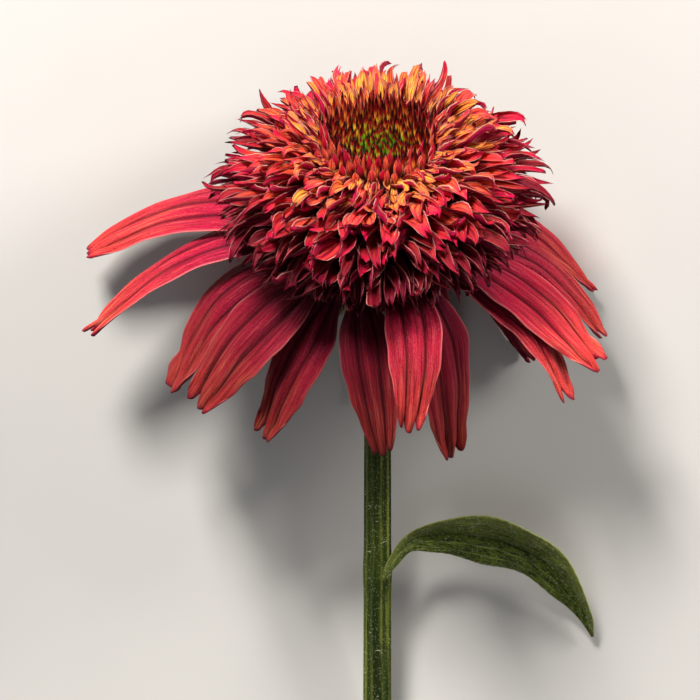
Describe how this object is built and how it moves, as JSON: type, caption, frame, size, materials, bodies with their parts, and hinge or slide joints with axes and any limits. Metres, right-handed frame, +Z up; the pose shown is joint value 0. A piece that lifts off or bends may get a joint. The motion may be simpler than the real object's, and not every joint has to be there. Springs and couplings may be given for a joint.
{
  "type": "double coneflower bloom on a cut stem",
  "caption": "Picked double coneflower lying on its side: a pompom of petal-like florets over drooping toothed rays, on a ribbed stem with one leaf.",
  "frame": {"origin": "centre of the bounding box, on the surface that the flower lies on", "axes": "+X to the right, +Y from the cut end of the stem towards the bloom, +Z up from the surface"},
  "size_m": [0.0986, 0.1356, 0.0581],
  "materials": {
    "coral_petaloids": "velvety, crimson outside and coral inside",
    "crimson_rays": "velvety, veined",
    "disc_green_and_red": "waxy",
    "bract_green": "matt, finely hairy",
    "stem_green": "matt, finely hairy",
    "leaf_green": "matt, rough"
  },
  "bodies": {
    "root": {"petaloid_florets": "coral_petaloids", "disc_florets": "disc_green_and_red", "involucre_bracts": "bract_green", "ray_floret_01": "crimson_rays", "ray_floret_02": "crimson_rays", "ray_floret_03": "crimson_rays", "ray_floret_04": "crimson_rays", "ray_floret_05": "crimson_rays", "ray_floret_06": "crimson_rays", "ray_floret_07": "crimson_rays", "ray_floret_08": "crimson_rays", "ray_floret_09": "crimson_rays", "ray_floret_10": "crimson_rays", "ray_floret_11": "crimson_rays", "ray_floret_12": "crimson_rays", "ray_floret_13": "crimson_rays", "ray_floret_14": "crimson_rays", "ray_floret_15": "crimson_rays", "ray_floret_16": "crimson_rays", "ray_floret_17": "crimson_rays", "stem": "stem_green", "leaf": "leaf_green"}
  },
  "joints": []
}
